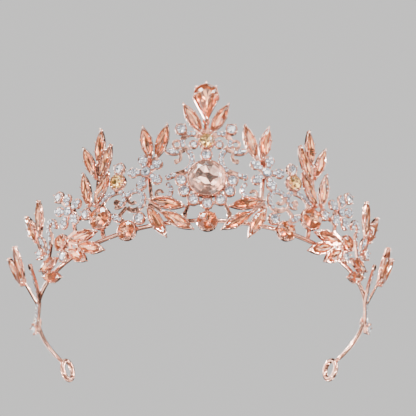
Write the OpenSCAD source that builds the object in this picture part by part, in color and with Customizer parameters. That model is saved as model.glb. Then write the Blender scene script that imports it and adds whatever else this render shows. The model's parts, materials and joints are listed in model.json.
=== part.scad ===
// Bridal tiara: a plain round wire hoop with curled end loops, carrying an
// upright openwork front built from cast motifs set with coloured stones,
// clear crystals and small pave stones.
// Wearing position: Z up, front towards -Y, hoop wire lying level at Z = 0,
// mirror symmetric about X = 0. All sizes in millimetres.

/* [View] */
// Which sub-part to show

/* [Hoop] */
// Radius of the hoop wire centre line
hoop_radius = 72; // [60:1:87]
// Radius of the round hoop wire
wire_radius = 0.9; // [0.7:0.05:1.2]
// Angle from the front to each end of the wire
hoop_half_angle = 118; // [110:1:130]
// Inner radius of the curled end loops
loop_bore = 3.7; // [3:0.1:5]
// How far the loops hang below the hoop plane
loop_drop = 2.2; // [0:0.1:3]
// Length of the crimped collars on the wire
collar_length = 3.2; // [2:0.1:5]

/* [Panel] */
// Outward lean of the openwork front
flare = 18; // [8:1:24]
// Further outward lean of the two end motifs
end_flare = 11; // [0:1:14]
// Thickness of the cast openwork
rib_height = 1; // [0.8:0.05:1.4]
// Width of the ribs that carry pave stones
rib_width = 2.1; // [1.7:0.05:2.6]
// Width of the plain ribs and stems
stem_width = 1.3; // [1:0.05:1.8]
// Lift of the leaf sprays and flowers in front of the openwork
lift = 1.3; // [1.1:0.05:2]
// Lift of the flowers in front of the openwork
flower_lift = 2.4; // [2.2:0.05:3]
// Lift of the ferns in front of the openwork
fern_lift = 1.5; // [1.3:0.05:2]
// Height of the champagne stone above the hoop wire
crest_height = 33; // [31:0.5:36]

/* [Stones] */
// Radius of the large round centre stone
centre_stone_radius = 7.3; // [6:0.1:7.5]
// Radius of the champagne round stones
champagne_radius = 3; // [2.4:0.05:3.2]
// Radius of the clear round crystals
crystal_radius = 1.95; // [1.6:0.05:2.1]
// Radius of the large rivoli stones
rivoli_large_radius = 4.2; // [3.4:0.05:4.6]
// Radius of the small rivoli stones
rivoli_small_radius = 3.6; // [3:0.05:4]
// Radius of the pave stones
pave_radius = 0.72; // [0.55:0.01:0.8]
// Length of the leaf-shaped stones
leaf_length = 14; // [11.5:0.1:15]
// Width of the leaf-shaped stones
leaf_width = 3.9; // [3.2:0.05:4.4]
// Length of the pear stone at the top
pear_length = 16; // [13:0.1:19]
// Width of the pear stone at the top
pear_width = 9.4; // [8:0.1:10.5]

/* [Hidden] */
$fn = 48;
wall = 0.42;                       // bezel wall
gap = 0.06;                        // setting clearance round a stone
floor_t = 0.7;                     // bezel floor
turn = 72 / hoop_radius;           // keeps motif spacing on other hoops
a_inner = 16 * turn;               // station angles from the front
a_mid = 28 * turn;
a_fern = 32 * turn;
a_outer = 43 * turn;
a_side = 58 * turn;
a_end = 74 * turn;
a_collar = 88.5 * turn;
fern_width = leaf_width * 0.87;
loop_wire = wire_radius * 1.08;      // the curled ends are a little flattened
loop_mid = loop_bore + loop_wire;
tail_angle = round(26 * turn) / 10; // lead into each end loop, in tenths of a degree
champ_y = crest_height;
big_y = 16.5;
halo_r = centre_stone_radius + wall + gap + crystal_radius + 0.35;
halo_angles = [-2, -28.5, -58];

hoop_wire();
left() end_loop();  // end_loop_left
end_loop();  // end_loop_right
left() collar();  // collar_left
collar();  // collar_right
centre_frame();
centre_pave();
pear_stone();
crest_leaf_stones();
crest_champagne_stone();
crest_crystals();
centre_stone();
halo_crystals();
front_rivoli();
left() inner_flower();  // inner_flower_left
inner_flower();  // inner_flower_right
left() inner_pave();  // inner_pave_left
inner_pave();  // inner_pave_right
left() inner_twin_stones();  // inner_twin_stones_left
inner_twin_stones();  // inner_twin_stones_right
left() inner_spray();  // inner_spray_left
inner_spray();  // inner_spray_right
left() inner_spray_stones();  // inner_spray_stones_left
inner_spray_stones();  // inner_spray_stones_right
left() mid_scroll();  // mid_scroll_left
mid_scroll();  // mid_scroll_right
left() mid_pave();  // mid_pave_left
mid_pave();  // mid_pave_right
left() mid_rivolis();  // mid_rivolis_left
mid_rivolis();  // mid_rivolis_right
left() mid_crystals();  // mid_crystals_left
mid_crystals();  // mid_crystals_right
left() mid_champagne();  // mid_champagne_left
mid_champagne();  // mid_champagne_right
left() fern();  // fern_left
fern();  // fern_right
left() fern_stones();  // fern_stones_left
fern_stones();  // fern_stones_right
left() outer_flower();  // outer_flower_left
outer_flower();  // outer_flower_right
left() outer_pave();  // outer_pave_left
outer_pave();  // outer_pave_right
left() outer_rivoli();  // outer_rivoli_left
outer_rivoli();  // outer_rivoli_right
left() outer_spray();  // outer_spray_left
outer_spray();  // outer_spray_right
left() outer_spray_stones();  // outer_spray_stones_left
outer_spray_stones();  // outer_spray_stones_right
left() side_scroll();  // side_scroll_left
side_scroll();  // side_scroll_right
left() side_pave();  // side_pave_left
side_pave();  // side_pave_right
left() side_leaf_stones();  // side_leaf_stones_left
side_leaf_stones();  // side_leaf_stones_right
left() end_drop();  // end_drop_left
end_drop();  // end_drop_right
left() end_pave();  // end_pave_left
end_pave();  // end_pave_right
left() end_leaf_stones();  // end_leaf_stones_left
end_leaf_stones();  // end_leaf_stones_right

// ---------- colours ----------
module gold() color([0.86, 0.6, 0.49]) children();
module peach() color([0.95, 0.62, 0.47]) children();
module blush() color([0.93, 0.72, 0.66]) children();
module honey() color([0.9, 0.7, 0.42]) children();
module clear() color([0.92, 0.94, 0.97]) children();

// ---------- placing ----------
// The other half of the tiara.
module left() mirror([1, 0, 0]) children();
// Both halves of a motif that lies across the middle.
module both() { children(); mirror([1, 0, 0]) children(); }
// Flat working plane of a motif at angle a: x along the hoop, y up the panel,
// z outwards, the plane touching the front of the wire at y = 0.
module station(a)
  rotate([0, 0, a]) translate([0, -hoop_radius, 0])
    rotate([90 + flare + (a == a_end ? end_flare : 0), 0, 0])
      translate([0, 0, wire_radius]) children();
// The bare wire, used again to shape the saddles soldered on to it.
module wire_body(half)
  rotate([0, 0, -90 - half]) rotate_extrude(angle = 2 * half)
    translate([hoop_radius, 0]) circle(r = wire_radius);
// A soldering peg behind a motif, shaped to the wire.
module peg(a, x, y1, z1, w = 1.6)
  difference() {
    station(a) translate([x - w / 2, 0, -wire_radius]) cube([w, y1, wire_radius + z1]);
    wire_body(hoop_half_angle);
  }

// ---------- small building blocks ----------
module bar(x0, y0, x1, y1, w, h)
  translate([x0, y0, 0]) rotate([0, 0, atan2(y1 - y0, x1 - x0)])
    translate([0, -w / 2, 0]) cube([norm([x1 - x0, y1 - y0]), w, h]);
module dot(x, y, r, h) translate([x, y, 0]) cylinder(r = r, h = h);
module rib(x, y, r, from, to, w, h)
  translate([x, y, 0]) rotate([0, 0, from]) rotate_extrude(angle = to - from)
    translate([r - w / 2, 0]) square([w, h]);
// Leaf outline: two equal arcs meeting in points.
module leaf_outline(l, w) {
  big = (l * l + w * w) / (4 * w);
  intersection() {
    translate([0, big - w / 2]) circle(r = big, $fn = 120);
    translate([0, w / 2 - big]) circle(r = big, $fn = 120);
  }
}
// Round bezel with open back, claws at the sides.
module cup(x, y, r, h = 1.9, claws = 4, start = 45)
  translate([x, y, 0]) {
    rotate_extrude() polygon([
      [r * 0.5, 0], [r + gap + wall, 0], [r + gap + wall, h * 0.78],
      [r + gap, h], [r + gap, floor_t], [r * 0.5, floor_t]]);
    if (claws > 0)
      for (k = [0 : claws - 1])
        rotate([0, 0, start + k * 360 / claws])
          translate([r + gap + wall * 0.75, 0, 0]) cylinder(r = wall * 0.72, h = h + 0.5);
  }
// Clears the seat of a round stone.
module pocket(x, y, r) translate([x, y, floor_t]) cylinder(r = r + gap, h = 6);
// Draws a bezel, or the room it needs when other ribs run past it.
module seat(cut, x, y, r, h = 1.9, claws = 4) if (cut) pocket(x, y, r); else cup(x, y, r, h, claws);
// Round stone resting on the floor of its bezel.
module round_stone(x, y, r, t = 0.9)
  translate([x, y, floor_t]) rotate_extrude() polygon([
    [0, 0], [r * 0.72, 0], [r, r * t * 0.5], [r, r * t * 0.6],
    [r * 0.56, r * t], [0, r * t]]);
// Small pave stone on top of a rib.
module pave(x, y, r = pave_radius, h = rib_height)
  translate([x, y, h]) cylinder(r1 = r, r2 = r * 0.6, h = r * 0.7);
module pave_arc(x, y, r, from, to, n, h = rib_height)
  for (k = [0 : n - 1]) {
    a = from + (to - from) * (k + 0.5) / n;
    pave(x + r * cos(a), y + r * sin(a), pave_radius, h);
  }
module pave_line(x0, y0, x1, y1, n, h = rib_height)
  for (k = [0 : n - 1]) {
    t = (k + 0.5) / n;
    pave(x0 + (x1 - x0) * t, y0 + (y1 - y0) * t, pave_radius, h);
  }
// Places a leaf whose foot is at (x, y) and which points along angle a.
module at_foot(x, y, a, l = leaf_length, z = 0)
  translate([x + l / 2 * cos(a), y + l / 2 * sin(a), z]) rotate([0, 0, a]) children();
// Leaf-shaped bezel with open back and side claws.
module leaf_cup(l = leaf_length, w = leaf_width) {
  difference() {
    linear_extrude(1.5) leaf_outline(l + 3.2 * wall, w + 2 * wall + 2 * gap);
    translate([0, 0, floor_t]) linear_extrude(2) leaf_outline(l + 0.2, w + 2 * gap);
    translate([0, 0, -1]) linear_extrude(3) leaf_outline(l * 0.6, w * 0.45);
  }
  for (k = [-1, 1]) {
    translate([k * (l / 2 + wall), 0, 0]) cylinder(r = wall, h = 1.9);
    for (j = [-1, 1]) translate([k * l * 0.14, j * (w / 2 - 0.12 + wall), 0])
      cylinder(r = wall * 0.7, h = 2.0);
  }
}
// Clears the seat of a leaf stone.
module leaf_pocket(l = leaf_length, w = leaf_width)
  translate([0, 0, floor_t]) linear_extrude(4) leaf_outline(l + 0.2, w + 2 * gap);
// Cut leaf stone: flat back, girdle, stepped crown with a ridge of facets.
module leaf_stone(l = leaf_length, w = leaf_width) {
  n = 12;
  h = w * 0.55;
  big = (l * l + w * w) / (4 * w);
  function side_y(x) = sqrt(big * big - x * x) - big + w / 2;
  function ring(f, z) = [for (k = [0 : n - 1]) let (t = 360 * k / n, x = l / 2 * cos(t))
    [f * x, k % (n / 2) == 0 ? 0 : f * sign(sin(t)) * side_y(x), z]];
  pts = concat(ring(0.7, 0), ring(0.985, h * 0.42), ring(0.985, h * 0.52), ring(0.5, h));
  side = [for (s = [0 : 2]) for (k = [0 : n - 1])
    [s * n + k, s * n + n + k, s * n + n + (k + 1) % n, s * n + (k + 1) % n]];
  translate([0, 0, floor_t]) polyhedron(points = pts,
    faces = concat([[for (k = [0 : n - 1]) k]], side,
      [[for (k = [0 : n - 1]) 4 * n - 1 - k]]));
}
// Five-petal flower plate with a round middle.
module flower(x, y, start, z)
  translate([x, y, z]) {
    cylinder(r = 2.2, h = rib_height);
    for (k = [0 : 4]) rotate([0, 0, start + 72 * k]) {
      translate([5.5, 0, 0]) cylinder(r = 2.15, h = rib_height);
      translate([1.5, -1.2, 0]) cube([4, 2.4, rib_height]);
    }
  }
module flower_pave(x, y, start, z)
  translate([x, y, z]) {
    pave(0, 0, 1.5);
    for (k = [0 : 4]) rotate([0, 0, start + 72 * k]) {
      pave(3.3, 0, 0.75);
      pave(5.0, 0.92, 0.8);
      pave(5.0, -0.92, 0.8);
      pave(6.55, 0, 0.85);
    }
  }

// ---------- hoop ----------
module hoop_wire() gold() wire_body(hoop_half_angle - tail_angle);
// The last short length of wire and the loop it is curled into.
module end_loop() gold() {
  reach = sqrt(loop_mid * loop_mid - loop_drop * loop_drop);
  rotate([0, 0, hoop_half_angle - 90 - tail_angle]) rotate_extrude(angle = tail_angle)
    translate([hoop_radius, 0]) circle(r = wire_radius);
  rotate([0, 0, hoop_half_angle]) translate([reach, -hoop_radius, -loop_drop])
    rotate([90, 0, 0]) rotate_extrude() {
      translate([loop_bore, -loop_wire]) square([loop_wire, 2 * loop_wire]);
      translate([loop_mid, 0]) circle(r = loop_wire);
    }
}
module collar() gold()
  rotate([0, 0, a_collar - 90]) rotate_extrude(angle = collar_length / hoop_radius * 57.3)
    translate([hoop_radius, 0]) difference() {
      circle(r = wire_radius + 0.75);
      circle(r = wire_radius);
    }

// ---------- centre ----------
module centre_frame() gold() {
  station(0) {
    difference() {
      union() {
        centre_ribs();
        centre_seats(false);
        crest_leaves() leaf_cup();
      }
      centre_seats(true);
      crest_leaves() leaf_pocket();
      pocket(0, big_y, centre_stone_radius);
    }
    big_bezel();
    translate([0, champ_y + 8.2, lift]) pear_cup();
    dot(0, champ_y + 8.6, 1.5, lift + 0.3);
  }
  peg(0, 0, 2.6, 0.5, 3);
  both() peg(0, 8.6, 2.6, 0.5, 1.6);
}
module crest_leaves() both() at_foot(1.9, champ_y + 3.9, 60) children();
module centre_seats(cut) {
  seat(cut, 0, champ_y, champagne_radius, 2.3);
  seat(cut, 0, champ_y - 5.9, crystal_radius);
  seat(cut, 0, big_y - halo_r, crystal_radius);
  seat(cut, 0, -1, rivoli_small_radius, 2.2);
  both() {
    seat(cut, 10.1, 38.2, crystal_radius);
    seat(cut, 5.1, 31.6, 1.35, 1.7, 0);
    for (a = halo_angles)
      seat(cut, halo_r * cos(a), big_y + halo_r * sin(a), crystal_radius);
  }
}
module centre_ribs() {
  bar(0, 23.9, 0, 31, 1.6, floor_t);
  bar(0, 5, 0, 2, 1.8, rib_height);
  bar(0, champ_y + 2.8, 0, champ_y + 9.6, 2, rib_height);
  rib(0, big_y, halo_r, 165, 375, stem_width, rib_height);
  both() {
    // upper scroll, waist and lower tail
    rib(5.8, 32.6, 3.8, -38, 138, rib_width, rib_height);
    dot(8.5, 30, rib_width / 2 + 0.1, rib_height);
    rib(11.5, 25, 5.8, 125, 262, rib_width, rib_height);
    bar(10.4, 19.2, 15.2, 17.5, rib_width, rib_height);
    dot(15.2, 17.5, rib_width / 2 + 0.1, rib_height);
    // ear ring, hook and small leaf beside the scroll
    rib(11.7, 31.7, 1.6, 0, 360, 0.9, rib_height);
    rib(12.2, 26.2, 2, 85, 265, stem_width, rib_height);
    dot(12, 24.2, 0.9, rib_height + 0.3);
    translate([13.4, 28.4, 0]) rotate([0, 0, 8]) linear_extrude(rib_height) leaf_outline(7, 3);
    bar(8.2, 29.4, 11, 28.2, stem_width, rib_height);
    bar(6.6, 35.4, 9, 37.2, 1.6, floor_t);
    bar(0.4, 37.4, 3.8, 39.8, 1.6, floor_t);
    // strut from the halo down to the wire
    bar(6.2, 8.4, 8.6, 2.4, stem_width, rib_height);
    dot(8.6, 2.2, 1, rib_height);
  }
}
module big_bezel()
  translate([0, big_y, 0]) {
    rotate_extrude() polygon([
      [centre_stone_radius * 0.6, 0], [centre_stone_radius + gap + wall, 0],
      [centre_stone_radius + gap + wall, 2.9], [centre_stone_radius + gap + 0.1, 3.2],
      [centre_stone_radius + gap, 3.2], [centre_stone_radius + gap, floor_t],
      [centre_stone_radius * 0.6, floor_t]]);
  }
// Pear outline with its point at the origin, rounded top along +y.
module pear_outline(l, w) {
  r = w / 2;
  d = l - r;
  a = asin(r / d);
  union() {
    translate([0, d]) circle(r = r);
    polygon([[0, 0], [r * cos(a), d - r * sin(a)], [-r * cos(a), d - r * sin(a)]]);
  }
}
module pear_cup() {
  difference() {
    translate([0, -1.5 * wall, 0]) linear_extrude(1.9)
      pear_outline(pear_length + 2.6 * wall, pear_width + 2 * wall + 2 * gap);
    translate([0, -gap, floor_t]) linear_extrude(3)
      pear_outline(pear_length + 3 * gap, pear_width + 2 * gap);
    translate([0, pear_length * 0.3, -1]) linear_extrude(3)
      pear_outline(pear_length * 0.56, pear_width * 0.56);
  }
  top = pear_length - pear_width / 2;
  for (a = [35, 145, 90, -12, 192])
    translate([(pear_width / 2 + wall) * cos(a), top + (pear_width / 2 + wall) * sin(a), 0])
      cylinder(r = wall, h = 2.6);
  translate([0, -wall, 0]) cylinder(r = wall * 1.2, h = 2.6);
}
module pear_stone() {
  n = 16;
  h = pear_width * 0.42;
  r = pear_width / 2;
  d = pear_length - r;
  e = asin(r / d);
  // the point, then round the back from one tangent point to the other
  function edge(k) = k == 0 ? [0, 0] :
    let (t = -e + (180 + 2 * e) * (k - 1) / (n - 2)) [r * cos(t), d + r * sin(t)];
  function ring(f, z) = [for (k = [0 : n - 1]) let (p = edge(k))
    [f * p[0], d * (1 - f) * 0.92 + f * p[1], z]];
  pts = concat(ring(0.7, 0), ring(0.985, h * 0.45), ring(0.985, h * 0.55), ring(0.52, h));
  side = [for (s = [0 : 2]) for (k = [0 : n - 1])
    [s * n + k, s * n + n + k, s * n + n + (k + 1) % n, s * n + (k + 1) % n]];
  peach() station(0) translate([0, champ_y + 8.2, lift + floor_t])
    polyhedron(points = pts, faces = concat([[for (k = [0 : n - 1]) k]], side,
      [[for (k = [0 : n - 1]) 4 * n - 1 - k]]));
}
module crest_leaf_stones() peach() station(0) crest_leaves() leaf_stone();
module crest_champagne_stone() honey() station(0) round_stone(0, champ_y, champagne_radius);
module crest_crystals() clear() station(0) {
  round_stone(0, champ_y - 5.9, crystal_radius);
  both() {
    round_stone(10.1, 38.2, crystal_radius);
    round_stone(5.1, 31.6, 1.35);
  }
}
module centre_stone() blush() station(0)
  translate([0, big_y, floor_t]) {
    r = centre_stone_radius;
    rotate_extrude() polygon([
      [0, 0], [r * 0.78, 0], [r, 1.7], [r, 2.1], [r * 0.55, 4.1], [0, 4.1]]);
  }
module halo_crystals() clear() station(0) {
  for (a = halo_angles) both()
    round_stone(halo_r * cos(a), big_y + halo_r * sin(a), crystal_radius);
  round_stone(0, big_y - halo_r, crystal_radius);
}
module front_rivoli() peach() station(0) round_stone(0, -1, rivoli_small_radius, 0.7);
module centre_pave() clear() station(0) both() {
  pave_arc(5.8, 32.6, 3.8, 60, 116, 2);
  pave_arc(5.8, 32.6, 3.8, -34, 12, 2);
  pave_arc(11.5, 25, 5.8, 136, 240, 6);
  pave_line(12, 18.6, 16, 17.3, 2);
  pave(11.6, 28.15, 0.6);
  pave(13.5, 28.4, 0.95);
  pave(15.1, 28.65, 0.6);
}

// ---------- inner motif ----------
module inner_flower() gold() {
  station(a_inner) {
    bar(0.4, 0.4, 0.8, 27, stem_width, rib_height);
    dot(1.1, 21, 1.6, flower_lift + 0.3);
    flower(1.1, 21, 8, flower_lift);
    difference() {
      union() {
        inner_twins() leaf_cup();
        bar(0.8, 24, -0.2, 28.6, 1.6, floor_t);
        bar(0.6, 24.4, -3.3, 28.8, 1.6, floor_t);
      }
      inner_twins() leaf_pocket();
    }
    // open C-shaped scroll at the foot of the flower
    rib(-4.4, 12.9, 3.3, 135, 330, 1.7, rib_height);
    rib(-2.8, 12, 1.4, -40, 170, 1.1, rib_height);
    dot(-6.7, 15.2, 0.95, rib_height);
    bar(-2, 10.6, 0.5, 10.6, 1.2, rib_height);
  }
  peg(a_inner, 0.4, 2, 0.5, 1.6);
}
module inner_twins() {
  at_foot(-0.3, 27.6, 83) children();
  at_foot(-3, 27.6, 113) children();
}
module inner_pave() clear() station(a_inner) {
  flower_pave(1.1, 21, 8, flower_lift);
  pave_arc(-4.4, 12.9, 3.3, 132, 236, 3);
}
module inner_twin_stones() peach() station(a_inner) inner_twins() leaf_stone();
module inner_spray() gold() {
  station(a_inner) difference() {
    union() {
      inner_leaves() leaf_cup();
      translate([0, 0, lift]) bar(0.8, 8.4, -4, 3.2, 1.4, floor_t);
      translate([0, 0, lift]) bar(0.4, 9, 1.9, 6.4, 1.4, floor_t);
    }
    inner_leaves() leaf_pocket();
  }
  peg(a_inner, -2.2, 1.8, lift + 0.3, 1.4);
}
module inner_leaves() {
  at_foot(0.8, 9.4, 200, leaf_length, lift) children();
  at_foot(1.8, 6.5, 245, leaf_length, lift) children();
  at_foot(-3.8, 3.5, 218, leaf_length, lift) children();
}
module inner_spray_stones() peach() station(a_inner) inner_leaves() leaf_stone();

// ---------- middle scroll ----------
module mid_scroll() gold() {
  station(a_mid) difference() {
    union() {
      mid_seats(false);
      rib(-8.9, 10.9, 4, 25, 330, 1.9, rib_height);
      rib(-8, 12, 1.9, -130, 60, 1.2, rib_height);
      rib(-1.6, 13.7, 3.1, 85, 300, 1.9, rib_height);
      rib(-0.6, 8.2, 8.6, 47, 97, 1.9, rib_height);
      bar(5, 14.2, 5.4, 12, 1.5, rib_height);
      dot(-1.2, 12.3, 1.3, rib_height + 0.5);
      bar(-1.2, 12.3, -0.6, 11, 1.2, rib_height);
      bar(-9.4, 7, -9.8, 5, 1.4, rib_height);
      translate([-0.2, 6, 0]) rotate([0, 0, 40]) linear_extrude(rib_height) leaf_outline(8.5, 3);
      bar(-2.6, 3, -0.5, 6, 1.4, rib_height);
      bar(-5, 9.4, -0.8, 6.4, 1.2, rib_height);
    }
    mid_seats(true);
  }
  peg(a_mid, -3.9, 3, 0.5, 2.6);
}
module mid_seats(cut) {
  seat(cut, -2.9, 20.7, champagne_radius, 2.3);
  seat(cut, -4.4, 26.2, crystal_radius);
  seat(cut, -9.9, 2.8, crystal_radius);
  seat(cut, -3.9, -0.5, rivoli_small_radius, 2.2);
  seat(cut, 6.9, 8.1, rivoli_large_radius, 2.3);
}
module mid_pave() clear() station(a_mid) {
  pave_arc(-8.9, 10.9, 4, 40, 250, 8);
  pave_arc(-1.6, 13.7, 3.1, 110, 260, 4);
  pave_arc(-0.6, 8.2, 8.6, 49, 93, 4);
  pave(-0.2, 6, 0.95);
  pave(-1.5, 4.9, 0.6);
  pave(1.1, 7.1, 0.6);
}
module mid_rivolis() peach() station(a_mid) {
  round_stone(-3.9, -0.5, rivoli_small_radius, 0.7);
  round_stone(6.9, 8.1, rivoli_large_radius, 0.7);
}
module mid_crystals() clear() station(a_mid) {
  round_stone(-4.4, 26.2, crystal_radius);
  round_stone(-9.9, 2.8, crystal_radius);
}
module mid_champagne() honey() station(a_mid) round_stone(-2.9, 20.7, champagne_radius);

// ---------- fern ----------
module fern_leaves() {
  at_foot(0.6, 26, 78) children();
  at_foot(-2, 31, 105) children();
  at_foot(-1.8, 24.2, 120) children();
  at_foot(5.4, 14.8, 89) children();
  at_foot(2.6, 14, 126) children();
}
module fern() gold() {
  station(a_fern) {
    translate([0, 0, fern_lift]) difference() {
      union() {
        fern_leaves() leaf_cup(leaf_length, fern_width);
        bar(0.6, 25, 0.6, 29, 1.4, floor_t);
        bar(2, 13.6, -1, 26.6, 1.6, floor_t);
        bar(-1, 25, -2, 33, 1.6, floor_t);
        bar(2, 14.2, 5.4, 15.6, 1.6, floor_t);
      }
      fern_leaves() leaf_pocket(leaf_length, fern_width);
    }
    dot(2.4, 14.2, 0.95, fern_lift + floor_t);
    translate([0, 0, -0.9]) bar(2.4, 1.2, 2.4, 15.1, 1.5, 1);
  }
  peg(a_fern, 2.4, 1.4, -0.1, 1.5);
}
module fern_stones() peach() station(a_fern) translate([0, 0, fern_lift]) fern_leaves() leaf_stone(leaf_length, fern_width);

// ---------- outer flower ----------
module outer_flower() gold() {
  station(a_outer) {
    dot(0.2, 16.7, 1.6, flower_lift + 0.3);
    flower(0.2, 16.7, 25, flower_lift);
    difference() {
      union() {
        outer_seats(false);
        bar(1.5, 0.4, 0.4, 16, stem_width, rib_height);
        bar(0.4, 17, 5.2, 24.8, stem_width, rib_height);
        bar(0.6, 12.6, -5, 12.6, stem_width, rib_height);
        bar(0.8, 8.4, 6, 7.4, stem_width, rib_height);
        bar(9, 4, 9.3, 2.6, 1.4, rib_height);
      }
      outer_seats(true);
    }
  }
  peg(a_outer, 1.5, 2, 0.5, 1.6);
}
module outer_seats(cut) {
  seat(cut, 5.6, 26.4, crystal_radius);
  seat(cut, -6.9, 12.6, crystal_radius);
  seat(cut, 8.9, 7.1, champagne_radius, 2.2);
  seat(cut, 9.3, 1, crystal_radius);
}
module outer_pave() clear() station(a_outer) {
  flower_pave(0.2, 16.7, 25, flower_lift);
  round_stone(9.3, 1, crystal_radius);
  round_stone(5.6, 26.4, crystal_radius);
  round_stone(-6.9, 12.6, crystal_radius);
}
module outer_rivoli() peach() station(a_outer) round_stone(8.9, 7.1, champagne_radius, 0.7);
module outer_leaves() {
  at_foot(3.2, 5.2, 190, leaf_length, lift) children();
  at_foot(-0.6, 1.2, 211, leaf_length, lift) children();
}
module outer_small_leaf()
  at_foot(4.4, 1.4, 226, leaf_length * 0.75, lift) children();
module outer_spray() gold() {
  station(a_outer) difference() {
    union() {
      outer_leaves() leaf_cup();
      outer_small_leaf() leaf_cup(leaf_length * 0.75);
      translate([0, 0, lift]) bar(3.6, 4.8, -1.6, 0.6, 1.4, floor_t);
      translate([0, 0, lift]) bar(3.6, 5, 4, 0.8, 1.4, floor_t);
    }
    outer_leaves() leaf_pocket();
    outer_small_leaf() leaf_pocket(leaf_length * 0.75);
  }
  peg(a_outer, -2.6, 1.4, lift + 0.3, 1.4);
}
module outer_spray_stones() peach() station(a_outer) {
  outer_leaves() leaf_stone();
  outer_small_leaf() leaf_stone(leaf_length * 0.75);
}

// ---------- side scroll ----------
module side_scroll() gold() {
  station(a_side) difference() {
    union() {
      rib(-7, 16.6, 2.8, -60, 220, 1.9, rib_height);
      bar(-5.4, 14.6, -3.4, 11.2, rib_width, rib_height);
      bar(-3.6, 11.6, 2.6, 4.8, rib_width, rib_height);
      bar(2.4, 5.2, 3.6, 0.4, 1.6, rib_height);
      translate([2.2, 15.2, 0]) rotate([0, 0, 66]) linear_extrude(rib_height) leaf_outline(8, 3.2);
      bar(0, 8, 5, 11.8, stem_width, floor_t);
      seat(false, 5.6, 11.4, crystal_radius);
      bar(1, 12.4, 0.4, 8.4, 1.2, rib_height);
      side_twins() leaf_cup();
      bar(5.6, 13, 6.3, 18.6, 1.6, floor_t);
      bar(3.4, 17.6, 2.8, 20.6, 1.6, floor_t);
      side_leaves() leaf_cup(leaf_length * 0.88);
      translate([0, 0, lift]) bar(5.6, 3, 4.2, 0, 1.4, floor_t);
      dot(4.2, 0.6, 1.1, lift + 0.3);
    }
    seat(true, 5.6, 11.4, crystal_radius);
    side_twins() leaf_pocket();
    side_leaves() leaf_pocket(leaf_length * 0.88);
  }
  peg(a_side, 3.6, 1.6, 0.5, 1.8);
}
module side_twins() {
  at_foot(6.4, 18, 79) children();
  at_foot(2.6, 19.4, 110) children();
}
module side_leaves() {
  at_foot(5.6, 3.4, 186, leaf_length * 0.88, lift) children();
  at_foot(4.6, -0.2, 209, leaf_length * 0.88, lift) children();
}
module side_leaf_stones() peach() station(a_side) {
  side_twins() leaf_stone();
  side_leaves() leaf_stone(leaf_length * 0.88);
}
module side_pave() clear() station(a_side) {
  pave_arc(-7, 16.6, 2.8, -50, 215, 7);
  pave_line(-5, 13.4, -3.8, 12.2, 1);
  pave_line(-3, 10.8, 1.2, 6.4, 3);
  pave(2.2, 15.2, 0.95);
  pave(1.5, 13.5, 0.65);
  pave(2.9, 16.8, 0.65);
  round_stone(5.6, 11.4, crystal_radius);
}

// ---------- end drop ----------
module end_drop() gold() {
  station(a_end) {
    bar(-8, 10.6, -5, 3, rib_width, rib_height);
    dot(-8, 10.6, 1.5, rib_height);
    bar(-5.4, 3.6, 0.8, -2.6, rib_width, rib_height);
    bar(0.2, -2.2, 9.4, -5, rib_width, rib_height);
    bar(5, 12, 3.2, -3, 1.6, floor_t);
    difference() {
      union() {
        end_twins() leaf_cup();
        bar(2.8, 11.8, 7.2, 11.8, 1.6, floor_t);
        bar(9, -4.9, 14.4, -5.8, rib_width, rib_height);
        seat(false, 15.6, -6, crystal_radius);
      }
      end_twins() leaf_pocket();
      seat(true, 15.6, -6, crystal_radius);
    }
  }
  peg(a_end, -2.4, 1.2, 0.5, 2);
  peg(a_end, 4, 1.2, 0.5, 1.8);
}
module end_twins() {
  at_foot(6.8, 11.8, 90) children();
  at_foot(3.2, 12.2, 118) children();
}
module end_leaf_stones() peach() station(a_end) end_twins() leaf_stone();
module end_pave() clear() station(a_end) {
  pave_line(-7.7, 9.6, -5.2, 3.6, 3);
  pave_line(-4.6, 2.8, 0, -1.8, 3);
  pave_line(1, -2.4, 8.4, -4.7, 4);
  pave_line(8.8, -4.9, 13, -5.6, 2);
  round_stone(15.6, -6, crystal_radius);
}
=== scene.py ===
import json
import math
import random

import bmesh
import bpy
from mathutils import Matrix, Vector


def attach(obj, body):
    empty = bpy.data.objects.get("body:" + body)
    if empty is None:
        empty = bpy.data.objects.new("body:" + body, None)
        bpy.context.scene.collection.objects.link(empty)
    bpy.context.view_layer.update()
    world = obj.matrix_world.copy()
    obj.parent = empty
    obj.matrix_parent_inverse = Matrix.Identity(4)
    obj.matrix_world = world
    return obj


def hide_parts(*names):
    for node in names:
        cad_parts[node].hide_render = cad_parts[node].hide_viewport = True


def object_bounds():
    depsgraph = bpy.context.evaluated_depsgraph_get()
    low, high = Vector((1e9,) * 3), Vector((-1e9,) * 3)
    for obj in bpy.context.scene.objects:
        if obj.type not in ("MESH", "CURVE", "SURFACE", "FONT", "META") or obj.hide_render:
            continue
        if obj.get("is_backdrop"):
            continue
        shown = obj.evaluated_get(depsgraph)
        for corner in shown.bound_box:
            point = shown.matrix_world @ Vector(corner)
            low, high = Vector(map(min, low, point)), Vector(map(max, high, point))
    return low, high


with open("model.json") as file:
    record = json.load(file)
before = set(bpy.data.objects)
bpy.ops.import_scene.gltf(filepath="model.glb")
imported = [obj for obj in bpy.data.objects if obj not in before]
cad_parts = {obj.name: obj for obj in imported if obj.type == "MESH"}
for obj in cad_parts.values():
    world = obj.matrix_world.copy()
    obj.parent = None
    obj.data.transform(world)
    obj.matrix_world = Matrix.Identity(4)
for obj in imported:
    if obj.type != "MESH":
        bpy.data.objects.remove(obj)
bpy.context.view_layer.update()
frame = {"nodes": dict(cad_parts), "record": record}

MM = 0.001
rng = random.Random(7)

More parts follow.
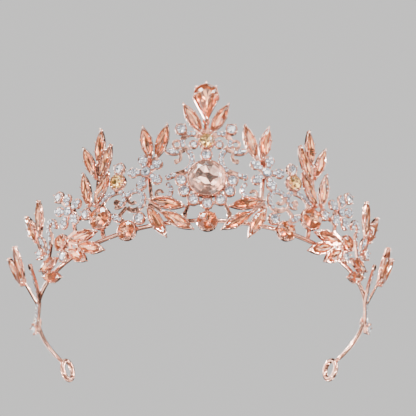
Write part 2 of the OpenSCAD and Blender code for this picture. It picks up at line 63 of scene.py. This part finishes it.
# ---------------------------------------------------------------- the setting out
# The openwork leans out by PANEL_LEAN and its two end motifs by END_LEAN. The
# motifs stand round the wire at these angles from the front, in degrees.
PANEL_LEAN = math.radians(18)
END_LEAN = math.radians(29)
STATIONS = {"centre": 0, "pear": 0, "crest": 0, "halo": 0, "front": 0, "inner": 16,
            "mid": 28, "fern": 32, "outer": 43, "side": 58, "end": 74}
HOOP_RADIUS = 72 * MM
WIRE_RADIUS = 0.9 * MM
SLOT_OF = {s["node"]: s["material_slot"] for s in frame["record"]["subparts"]}


def station(group, left=False):
    """Matrix of a motif's working plane: x along the hoop, y up, z outwards."""
    a = math.radians(STATIONS[group])
    lean = END_LEAN if group == "end" else PANEL_LEAN
    c, s = math.cos(lean), math.sin(lean)
    out = Vector((c * math.sin(a), -c * math.cos(a), -s))
    up = Vector((s * math.sin(a), -s * math.cos(a), c))
    foot = Vector((HOOP_RADIUS * math.sin(a), -HOOP_RADIUS * math.cos(a), 0))
    foot += out * WIRE_RADIUS
    if left:
        for v in (out, up, foot):
            v.x = -v.x
    along = up.cross(out)
    m = Matrix((along, up, out)).transposed().to_4x4()
    m.translation = foot
    return m


def loose_solids(node):
    """Vertex positions of each separate solid of a CAD node."""
    bm = bmesh.new()
    bm.from_mesh(frame["nodes"][node].data)
    bmesh.ops.remove_doubles(bm, verts=bm.verts, dist=2e-6)
    solids, seen = [], set()
    for start in bm.verts:
        if start in seen:
            continue
        seen.add(start)
        group, todo = [], [start]
        while todo:
            v = todo.pop()
            group.append(v.co.copy())
            for e in v.link_edges:
                w = e.other_vert(v)
                if w not in seen:
                    seen.add(w)
                    todo.append(w)
        solids.append(group)
    bm.free()
    return solids


class Seat:
    """Where one stone sits: its middle, its size and how it is turned."""

    def __init__(self, plane, points):
        local = [plane.inverted() @ p for p in points]
        low = [min(p[i] for p in local) for i in range(3)]
        high = [max(p[i] for p in local) for i in range(3)]
        self.plane = plane
        self.x, self.y = (low[0] + high[0]) / 2, (low[1] + high[1]) / 2
        self.base, self.top = low[2], high[2]
        rim = [(p.x - self.x, p.y - self.y) for p in local]
        far = max(rim, key=lambda q: q[0] ** 2 + q[1] ** 2)
        self.turn = math.atan2(far[1], far[0])
        c, s = math.cos(self.turn), math.sin(self.turn)
        self.half_length = math.hypot(*far)
        self.half_width = max(abs(q[1] * c - q[0] * s) for q in rim)

    def at(self, turn, z=0.0, x=0.0, y=0.0):
        return (self.plane @ Matrix.Translation((self.x, self.y, z))
                @ Matrix.Rotation(turn, 4, "Z") @ Matrix.Translation((x, y, 0)))


# ---------------------------------------------------------------- finishes
class Socket:
    """A node's output that can be used in sums."""

    def __init__(self, finish, link):
        self.finish, self.link = finish, link

    def sum(self, operation, a, b):
        return self.finish.node("ShaderNodeMath", {"operation": operation}, {0: a, 1: b})

    def __add__(self, other):
        return self.sum("ADD", self, other)

    def __sub__(self, other):
        return self.sum("SUBTRACT", self, other)

    def __rsub__(self, other):
        return self.sum("SUBTRACT", other, self)

    def __mul__(self, other):
        return self.sum("MULTIPLY", self, other)

    __radd__ = __add__
    __rmul__ = __mul__


class Finish:
    """One material, made of nodes on object coordinates."""

    def __init__(self, name):
        self.material = bpy.data.materials.new(name)
        self.material.use_nodes = True
        self.tree = self.material.node_tree
        self.tree.nodes.clear()
        self.place = self.node("ShaderNodeTexCoord", out="Object")

    def node(self, kind, settings=None, values=None, out=0):
        made = self.tree.nodes.new(kind)
        for name, value in (settings or {}).items():
            if name == "stops":
                ramp = made.color_ramp
                while len(ramp.elements) < len(value):
                    ramp.elements.new(0.5)
                for element, (position, colour) in zip(ramp.elements, value):
                    element.position, element.color = position, (*colour, 1)
            else:
                setattr(made, name, value)
        for name, value in (values or {}).items():
            if isinstance(value, Socket):
                self.tree.links.new(value.link, made.inputs[name])
            else:
                made.inputs[name].default_value = value
        return Socket(self, made.outputs[out])

    def noise(self, scale, detail=2.0, roughness=0.5, stretch=None):
        place = self.place
        if stretch:
            place = self.node("ShaderNodeMapping", {}, {"Vector": place, "Scale": stretch[0],
                                                        "Rotation": stretch[1]})
        return self.node("ShaderNodeTexNoise", {}, {
            "Vector": place, "Scale": scale, "Detail": detail, "Roughness": roughness})

    def span(self, value, low, high, to_low=0.0, to_high=1.0):
        return self.node("ShaderNodeMapRange", {}, {
            "Value": value, "From Min": low, "From Max": high,
            "To Min": to_low, "To Max": to_high})

    def blend(self, factor, a, b):
        return self.node("ShaderNodeMix", {"data_type": "RGBA"}, {0: factor, 6: a, 7: b}, 2)

    def bump(self, height, distance, strength=1.0, over=None):
        values = {"Height": height, "Distance": distance, "Strength": strength}
        if over:
            values["Normal"] = over
        return self.node("ShaderNodeBump", {}, values)

    def scratches(self):
        """Fine hairlines in three directions, 0 to 1."""
        lines = None
        for turn in (0.4, 1.5, 2.6):
            hair = self.noise(900, 2, 0.6, ((1, 22, 1), (turn, turn * 0.7, turn)))
            hair = self.span(hair, 0.66, 0.74)
            lines = hair if lines is None else lines + hair
        return self.span(lines, 0.0, 1.4)

    def done(self, **inputs):
        shader = self.node("ShaderNodeBsdfPrincipled", {},
                           {k.replace("_", " "): v for k, v in inputs.items()})
        self.node_out(shader)
        return self.material

    def node_out(self, shader):
        out = self.tree.nodes.new("ShaderNodeOutputMaterial")
        self.tree.links.new(shader.link, out.inputs["Surface"])


def rgb(r, g, b):
    return (r, g, b, 1.0)


# deep is the colour of the painted corner shade.
def rose_gold(name="rose_gold_polished", base=(0.78, 0.36, 0.25), worn=(0.88, 0.50, 0.38),
              deep=(0.30, 0.12, 0.08), rough=0.15):
    """Rose-gold plate: cloudy tint, hairlines, and painted shade that darkens the corners towards
    deep, found by ambient occlusion.
    """
    f = Finish(name)
    cloud = f.noise(160, 3)
    dents = f.noise(330, 1.5)
    fine = f.noise(1400, 3, 0.6)
    soft_edge = f.node("ShaderNodeBevel", {"samples": 6}, {"Radius": 0.28 * MM})
    corner = f.node("ShaderNodeAmbientOcclusion", {"samples": 6}, {"Distance": 0.9 * MM}, "AO")
    hair = f.scratches()
    tint = f.blend(f.span(cloud, 0.35, 0.7), rgb(*base), rgb(*worn))
    # painted shade: where ambient occlusion finds a corner or crevice, the colour is darkened
    # towards deep to stand in for shade, and the metal is made rougher there
    painted_corner_shade = f.span(corner, 0.25, 0.8, 0.5, 0.0) * f.span(fine, 0.3, 0.65, 0.6, 1.0)
    tint = f.blend(painted_corner_shade, tint, rgb(*deep))
    roughness = f.span(fine, 0.3, 0.7, rough - 0.05, rough + 0.09) + hair * 0.12 + painted_corner_shade * 0.25
    wavy = f.bump(dents + cloud, 0.24 * MM, 0.5, soft_edge)
    height = fine * 0.5 + hair * -0.6
    return f.done(Base_Color=tint, Metallic=1.0, Roughness=roughness,
                  Normal=f.bump(height, 0.012 * MM, 0.55, wavy))


def cut_glass(name, tint, pale, ior=1.56):
    """Clear tinted glass of a cut stone: faint streaks, rubbed facet edges."""
    f = Finish(name)
    cloud = f.noise(220, 2)
    hair = f.scratches()
    smear = f.noise(700, 3)
    colour = f.blend(f.span(cloud, 0.35, 0.68), rgb(*tint), rgb(*pale))
    roughness = f.span(smear, 0.4, 0.75, 0.0, 0.035) + hair * 0.05
    return f.done(Base_Color=colour, Roughness=roughness, Transmission_Weight=1.0, IOR=ior,
                  Coat_Weight=0.3, Coat_Roughness=0.03,
                  Normal=f.bump(hair * -0.5 + smear * 0.3, 0.004 * MM, 0.4))


def foil(name, main, deep, light, painted_glow=0.10):
    """Mirror foil behind a stone: blotches of tint, random pale cells as painted glints, and a
    painted glow from its own emission.
    """
    f = Finish(name)
    cloud = f.noise(420, 2)
    cell = f.node("ShaderNodeTexVoronoi", {"feature": "F1"},
                  {"Vector": f.place, "Scale": 760.0}, "Color")
    painted_glint_cells = f.node("ShaderNodeSeparateColor", {}, {"Color": cell})
    colour = f.blend(f.span(cloud, 0.40, 0.75, 0.0, 0.6), rgb(*main), rgb(*deep))
    # painted glints: a random share of the cells is lightened towards light, standing in for
    # sparkle inside the stone
    colour = f.blend(f.span(painted_glint_cells, 0.78, 1.0, 0.0, 0.35), colour, rgb(*light))
    roughness = f.span(cloud, 0.3, 0.7, 0.03, 0.12)
    return f.done(Base_Color=colour, Metallic=1.0, Roughness=roughness,
                  # painted light: the foil glows with its own colour at the glow strength, though
                  # it is no lamp
                  Emission_Color=colour, Emission_Strength=painted_glow,
                  Normal=f.bump(cloud, 0.01 * MM, 0.4))


gold = rose_gold()
# the third colour is the painted corner shade of the beads
bead_gold = rose_gold("rose_gold_beads", (0.90, 0.55, 0.45), (0.97, 0.74, 0.65),
                      (0.40, 0.19, 0.14), 0.12)
# Each stone: its cut glass, then a foil with main and deep tints, the pale colour of its painted
# glints and the strength of its painted glow.
GEM_FINISH = {
    "peach_glass": (cut_glass("peach_glass_cut", (1.0, 0.82, 0.70), (1.0, 0.92, 0.85)),
                    foil("peach_foil", (1.0, 0.50, 0.29), (0.80, 0.22, 0.10),
                         (1.0, 0.86, 0.76), 0.15)),
    "blush_glass": (cut_glass("blush_glass_cut", (1.0, 0.90, 0.85), (1.0, 0.95, 0.92)),
                    foil("blush_foil", (1.0, 0.70, 0.58), (0.84, 0.50, 0.44),
                         (1.0, 0.90, 0.84), 0.16)),
    "champagne_glass": (cut_glass("champagne_glass_cut", (1.0, 0.87, 0.62), (1.0, 0.94, 0.80)),
                        foil("champagne_foil", (1.0, 0.70, 0.34), (0.74, 0.38, 0.12),
                         (1.0, 0.92, 0.70), 0.14)),
    "clear_crystal": (cut_glass("clear_crystal_cut", (0.98, 0.99, 1.0), (1.0, 1.0, 1.0)),
                      foil("silver_foil", (0.95, 0.96, 1.0), (0.38, 0.40, 0.50),
                         (1.0, 1.0, 1.0), 0.17)),
}


# ---------------------------------------------------------------- cutting the stones
# Each cut is a stack of rings: corners, share of the outline, height, turn in
# corners. Heights are shares of the half width, 0 at the girdle.
CUTS = {
    "brilliant": [(8, 0.56, 0.42, 0.5), (8, 0.80, 0.25, 0.0), (16, 1.0, 0.03, 0.5),
                  (16, 1.0, -0.04, 0.5), (8, 0.56, -0.30, 0.0), (6, 0.04, -0.43, 0)],
    "rivoli": [(6, 0.02, 0.42, 0), (8, 0.50, 0.27, 0.5), (8, 0.82, 0.13, 0.0),
               (16, 1.0, 0.03, 0.5), (16, 1.0, -0.03, 0.5), (8, 0.5, -0.30, 0.0),
               (6, 0.03, -0.55, 0)],
    "grand": [(12, 0.66, 0.29, 0.5), (12, 0.84, 0.19, 0.0), (24, 1.0, 0.03, 0.5),
              (24, 1.0, -0.03, 0.5), (12, 0.72, -0.14, 0.0), (8, 0.36, -0.23, 0.5),
              (6, 0.03, -0.26, 0)],
    "pave": [(8, 0.52, 0.64, 0.5), (8, 1.0, 0.36, 0.0), (8, 0.98, 0.28, 0.0), (6, 0.40, 0.03, 0)],
    "leaf": [(6, 0.70, 0.50, 0.0), (10, 0.88, 0.30, 0.0), (16, 1.0, 0.03, 0.0),
             (16, 1.0, -0.05, 0.0), (8, 0.80, -0.42, 0.0), (6, 0.62, -0.55, 0)],
    "pear": [(10, 0.50, 0.36, 0.5), (14, 0.79, 0.22, 0.0), (18, 1.0, 0.03, 0.5),
             (18, 1.0, -0.03, 0.5), (12, 0.6, -0.30, 0.0), (10, 0.14, -0.44, 0)],
}


def to_leaf(v, share, length, width):
    """Moves a point of a round ring on to a pointed leaf outline."""
    big = (length ** 2 + width ** 2) / (2 * width)
    x = max(-1.0, min(1.0, v.x)) * length
    side = math.sqrt(max(big ** 2 - x ** 2, 0)) - big + width
    narrow = share ** 3.5
    v.x, v.y = x * share, math.copysign(side, v.y) * narrow if abs(v.y) > 1e-4 else 0.0


def to_pear(v, share, length, width):
    """Moves a point of a round ring on to a pear outline, point towards -x."""
    turn = math.atan2(v.y, v.x)
    round_end = length - width
    if math.cos(turn) > -0.25:
        v.x, v.y = round_end + width * v.x, width * v.y
    else:
        near = (-math.cos(turn) - 0.25) / 0.75
        edge = math.copysign(width * math.sqrt(1 - 0.25 ** 2), v.y)
        v.x = round_end - width * 0.25 - (2 * length - width * 0.75) * near
        v.y = edge * (1 - near) if near < 0.999 else 0.0
    v.x = (v.x - 0.25 * length) * share + 0.25 * length
    v.y *= share


def cut_stone(cut, length, width, shape=None):
    """A cut stone as a mesh in its own place: crown on slot 0, foiled back on slot 1."""
    bm = bmesh.new()
    for corners, share, height, turn in CUTS[cut]:
        ring = bmesh.ops.create_circle(
            bm, segments=corners, radius=1.0,
            matrix=Matrix.Rotation(turn * 2 * math.pi / corners, 4, "Z"))["verts"]
        for v in ring:
            if shape:
                shape(v.co, share, length, width)
            else:
                v.co *= share * width
            v.co.z = height * width
    hull = bmesh.ops.convex_hull(bm, input=bm.verts)
    spare = {g for key in ("geom_interior", "geom_unused") for g in hull[key]
             if isinstance(g, bmesh.types.BMVert)}
    bmesh.ops.delete(bm, geom=list(spare), context="VERTS")
    bmesh.ops.remove_doubles(bm, verts=bm.verts, dist=0.01 * MM)
    bmesh.ops.dissolve_limit(bm, angle_limit=math.radians(1.5), verts=bm.verts, edges=bm.edges)
    loose = [e for e in bm.edges if not e.link_faces]
    bmesh.ops.delete(bm, geom=loose, context="EDGES")
    bmesh.ops.recalc_face_normals(bm, faces=bm.faces)
    for f in bm.faces:
        f.smooth = False
        f.material_index = 0 if f.normal.z > -0.05 else 1
    mesh = bpy.data.meshes.new(cut)
    bm.to_mesh(mesh)
    bm.free()
    return mesh


def bead(divisions=2):
    """A unit ball for grains and claw tips."""
    bm = bmesh.new()
    bmesh.ops.create_icosphere(bm, subdivisions=divisions, radius=1.0)
    for f in bm.faces:
        f.smooth = True
    mesh = bpy.data.meshes.new("bead")
    bm.to_mesh(mesh)
    bm.free()
    return mesh


BEAD, SMALL_BEAD = bead(2), bead(1)


class Piece:
    """One visible piece, gathered from copies of small meshes."""

    def __init__(self, name):
        self.name, self.bm = name, bmesh.new()

    def add(self, mesh, matrix):
        before = len(self.bm.verts)
        self.bm.from_mesh(mesh)
        self.bm.verts.ensure_lookup_table()
        fresh = self.bm.verts[before:]
        bmesh.ops.transform(self.bm, matrix=matrix, verts=fresh)

    def finish(self, slot, *materials, stands_for=()):
        if matrix_flips(self.bm):
            bmesh.ops.reverse_faces(self.bm, faces=self.bm.faces)
        mesh = bpy.data.meshes.new(self.name)
        self.bm.to_mesh(mesh)
        self.bm.free()
        for m in materials:
            mesh.materials.append(m)
        obj = bpy.data.objects.new(self.name, mesh)
        bpy.context.scene.collection.objects.link(obj)
        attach(obj, "root")
        if stands_for:
            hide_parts(*stands_for)
        return obj


def matrix_flips(bm):
    return bm.calc_volume(signed=True) < 0


def flat(x, y, z):
    return Matrix.Diagonal((x, y, z, 1))


def tilt(amount):
    """A stone never sits quite level."""
    return (Matrix.Rotation(math.radians(rng.uniform(-amount, amount)), 4, "X")
            @ Matrix.Rotation(math.radians(rng.uniform(-amount, amount)), 4, "Y"))


def group_of(node):
    return node.split("_")[0]


def is_left(node):
    return node.endswith("_left")


# Sizes that sort the stones, and how wide a pave stone is drawn.
LONG_STONE = 1.3
SMALLEST_SEATED = 1.2 * MM
LARGEST_PAVE = 1.7 * MM
OPEN_RIVOLI = 3.2 * MM
PAVE_SPREAD = 1.3
templates = {}


def template(cut, length, width, shape=None):
    key = (cut, round(length * 1e5), round(width * 1e5))
    if key not in templates:
        templates[key] = cut_stone(cut, length, width, shape)
    return templates[key]


metal_nodes = [n for n in frame["nodes"] if SLOT_OF[n] == "rose_gold"]
stone_nodes = [n for n in frame["nodes"] if SLOT_OF[n] != "rose_gold"]

for node in sorted(stone_nodes):
    plane = station(group_of(node), is_left(node))
    gems, claws = Piece(node + "_cut"), Piece(node + "_claws")
    for points in loose_solids(node):
        seat = Seat(plane, points)
        r = seat.half_width
        if r > 1.0 * MM and seat.half_length > LONG_STONE * r:
            if "pear" in node:
                girdle = seat.base + 0.5 * (seat.top - seat.base)
                tip_down = seat.at(math.pi / 2, girdle)
                gems.add(template("pear", seat.half_length, r * 0.97, to_pear), tip_down)
                for a in (35, 90, 145, -12, 192):
                    reach = r + 0.15 * MM
                    turn = math.radians(a)
                    spot = Matrix.Translation((
                        reach * math.cos(turn),
                        seat.half_length - r + reach * math.sin(turn), 0))
                    claws.add(BEAD, seat.at(0, girdle + 0.3 * r) @ spot
                              @ Matrix.Rotation(math.radians(a), 4, "Z")
                              @ flat(0.75 * MM, 0.42 * MM, 0.45 * MM))
                claws.add(BEAD, seat.at(0, girdle + 0.15 * r, 0, -seat.half_length + 0.1 * MM)
                          @ flat(0.5 * MM, 0.6 * MM, 0.5 * MM))
            else:
                girdle = seat.base + 0.45 * (seat.top - seat.base)
                gems.add(template("leaf", seat.half_length, r, to_leaf),
                         seat.at(seat.turn, girdle) @ tilt(1.5))
                for end in (-1, 1):
                    tip = end * (seat.half_length - 0.1 * MM)
                    claws.add(BEAD, seat.at(seat.turn, girdle + 0.12 * r, tip)
                              @ flat(0.62 * MM, 0.46 * MM, 0.5 * MM))
                    for side in (-1, 1):
                        claws.add(BEAD, seat.at(seat.turn, girdle + 0.22 * r,
                                                end * seat.half_length * 0.28,
                                                side * (r * 0.95))
                                  @ flat(0.26 * MM, 0.42 * MM, 0.3 * MM))
        elif r > SMALLEST_SEATED and not ("pave" in node and r < LARGEST_PAVE):
            peach = SLOT_OF[node] == "peach_glass"
            girdle = seat.base + 0.5 * (seat.top - seat.base)
            if node == "centre_stone":
                gems.add(template("grand", r, r), seat.at(0.1, girdle))
                continue
            gems.add(template("rivoli" if peach else "brilliant", r, r),
                     seat.at(rng.uniform(0, 1), girdle) @ tilt(2))
            if not peach or r < OPEN_RIVOLI:
                count = 8 if "champagne" in node else 4
                for k in range(count):
                    turn = math.pi / 4 + k * 2 * math.pi / count
                    claws.add(BEAD, seat.at(turn, girdle + 0.22 * r, r + 0.02 * MM)
                              @ flat(0.46 * MM, 0.30 * MM, 0.34 * MM))
        else:
            gems.add(template("pave", r * PAVE_SPREAD, r * PAVE_SPREAD),
                     seat.at(rng.uniform(0, 1.5), seat.base) @ tilt(4))
            for k in range(4):
                turn = math.pi / 4 + k * math.pi / 2 + rng.uniform(-0.2, 0.2)
                claws.add(SMALL_BEAD, seat.at(turn, seat.base + 0.2 * MM, r * PAVE_SPREAD)
                          @ flat(0.16 * MM, 0.16 * MM, 0.26 * MM))
    gems.finish(SLOT_OF[node], *GEM_FINISH[SLOT_OF[node]], stands_for=[node])
    if claws.bm.verts:
        claws.finish("rose_gold", bead_gold)
    else:
        claws.bm.free()

# ---------------------------------------------------------------- castings and wire
WELD_GAP = 2e-6
EDGE_ROUND = 0.13 * MM
EDGE_ANGLE = math.radians(40)

for node in metal_nodes:
    obj = frame["nodes"][node]
    obj.data.materials.clear()
    obj.data.materials.append(gold)
    weld = obj.modifiers.new("weld", "WELD")
    weld.merge_threshold = WELD_GAP
    round_off = obj.modifiers.new("round_off", "BEVEL")
    round_off.width = EDGE_ROUND
    round_off.segments = 2
    round_off.limit_method = "ANGLE"
    round_off.angle_limit = EDGE_ANGLE
    round_off.harden_normals = True

# ---------------------------------------------------------------- stage, light, camera
low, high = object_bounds()


def stage_finish(name, colour):
    """Pale matt paper that shows only its front face."""
    f = Finish(name)
    fibre = f.noise(60, 4)
    tint = f.blend(f.span(fibre, 0.3, 0.7), rgb(*[c * 0.97 for c in colour]), rgb(*colour))
    shader = f.node("ShaderNodeBsdfPrincipled", {}, {
        "Base Color": tint, "Roughness": 0.85, "Normal": f.bump(fibre, 0.05 * MM, 0.2)})
    clear = f.node("ShaderNodeBsdfTransparent")
    back = f.node("ShaderNodeNewGeometry", out="Backfacing")
    f.node_out(f.node("ShaderNodeMixShader", {}, {0: back, 1: shader, 2: clear}))
    return f.material


def sheet_of_paper(name, matrix, material):
    bm = bmesh.new()
    bmesh.ops.create_grid(bm, x_segments=1, y_segments=1, size=3.0, matrix=matrix)
    mesh = bpy.data.meshes.new(name)
    bm.to_mesh(mesh)
    bm.free()
    mesh.materials.append(material)
    obj = bpy.data.objects.new(name, mesh)
    bpy.context.scene.collection.objects.link(obj)
    obj.visible_diffuse = obj.visible_glossy = obj.visible_transmission = False
    obj.visible_shadow = obj.visible_volume_scatter = False
    obj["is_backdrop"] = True
    return obj


paper = stage_finish("pale_paper", (0.60, 0.585, 0.57))
sheet_of_paper("floor", Matrix.Translation((0, 0, low.z)), paper)

CAMERA_RISE, CAMERA_YAW, CAMERA_ROLL = (math.radians(v) for v in (39.4, -2.9, -1.6))
CAMERA_DISTANCE = 0.4
CAMERA_LENS = 1021 / 416 * 36
aim = Vector((0.5, -72.0, 6.3)) * MM
back = Vector((math.sin(CAMERA_YAW) * math.cos(CAMERA_RISE),
               -math.cos(CAMERA_YAW) * math.cos(CAMERA_RISE), -math.sin(CAMERA_RISE)))
level = Vector((0, 0, 1)).cross(back).normalized()
up = back.cross(level)
side = level * math.cos(CAMERA_ROLL) + up * math.sin(CAMERA_ROLL)
up = up * math.cos(CAMERA_ROLL) - level * math.sin(CAMERA_ROLL)
camera = bpy.data.objects.new("camera", bpy.data.cameras.new("camera"))
bpy.context.scene.collection.objects.link(camera)
camera.data.sensor_width = 36
camera.data.lens = CAMERA_LENS
camera.data.clip_start, camera.data.clip_end = 0.01, 20
camera.matrix_world = Matrix.Translation(aim + back * CAMERA_DISTANCE) @ \
    Matrix((side, up, back)).transposed().to_4x4()
bpy.context.scene.camera = camera


def lamp(name, place, target, width, power, colour=(1, 1, 1)):
    data = bpy.data.lights.new(name, "AREA")
    data.size = width
    data.energy = power
    data.color = colour
    obj = bpy.data.objects.new(name, data)
    bpy.context.scene.collection.objects.link(obj)
    place, target = Vector(place), Vector(target)
    facing = (place - target).to_track_quat("Z", "Y").to_matrix().to_4x4()
    obj.matrix_world = Matrix.Translation(place) @ facing
    return obj


middle = (low + high) / 2
lamp("key", (-0.7, -1.3, 1.3), middle, 0.50, 36.0, (1.0, 0.98, 0.96))
lamp("fill", (1.1, -1.0, 0.6), middle, 0.35, 14.0, (0.97, 0.98, 1.0))
lamp("low_front", (-0.95, -0.75, -0.45), middle, 1.1, 8.0)
lamp("rear", (-0.7, 1.2, 1.1), middle, 0.45, 18.0)
for k in range(10):
    turn = math.radians(36 * k + 9)
    height = 0.45 * math.cos(2.4 * k)
    spot = middle + Vector((math.sin(turn) * 0.5, -math.cos(turn) * 0.5, height))
    lamp(f"sparkle_{k}", spot, middle, 0.03, 1.3)


def studio_world():
    """Pale to the camera; to the metal and stones a soft room of light and shade."""
    world = bpy.data.worlds.new("studio")
    world.use_nodes = True
    world.node_tree.nodes.clear()
    f = Finish.__new__(Finish)
    f.tree = world.node_tree
    f.place = f.node("ShaderNodeTexCoord", out="Generated")
    room = f.node("ShaderNodeTexNoise", {}, {"Vector": f.place, "Scale": 2.6, "Detail": 1.0})
    room = f.node("ShaderNodeValToRGB", {"stops": [
        (0.44, (0.01, 0.01, 0.015)), (0.51, (0.14, 0.13, 0.13)), (0.57, (0.75, 0.74, 0.73)),
        (0.64, (5.2, 5.1, 5.0))]}, {"Fac": room})
    seen = f.node("ShaderNodeLightPath", out="Is Camera Ray")
    colour = f.blend(seen, room, rgb(0.86, 0.85, 0.84))
    light = f.node("ShaderNodeBackground", {}, {"Color": colour, "Strength": 1.0})
    out = f.tree.nodes.new("ShaderNodeOutputWorld")
    f.tree.links.new(light.link, out.inputs["Surface"])
    bpy.context.scene.world = world


studio_world()

low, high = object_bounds()
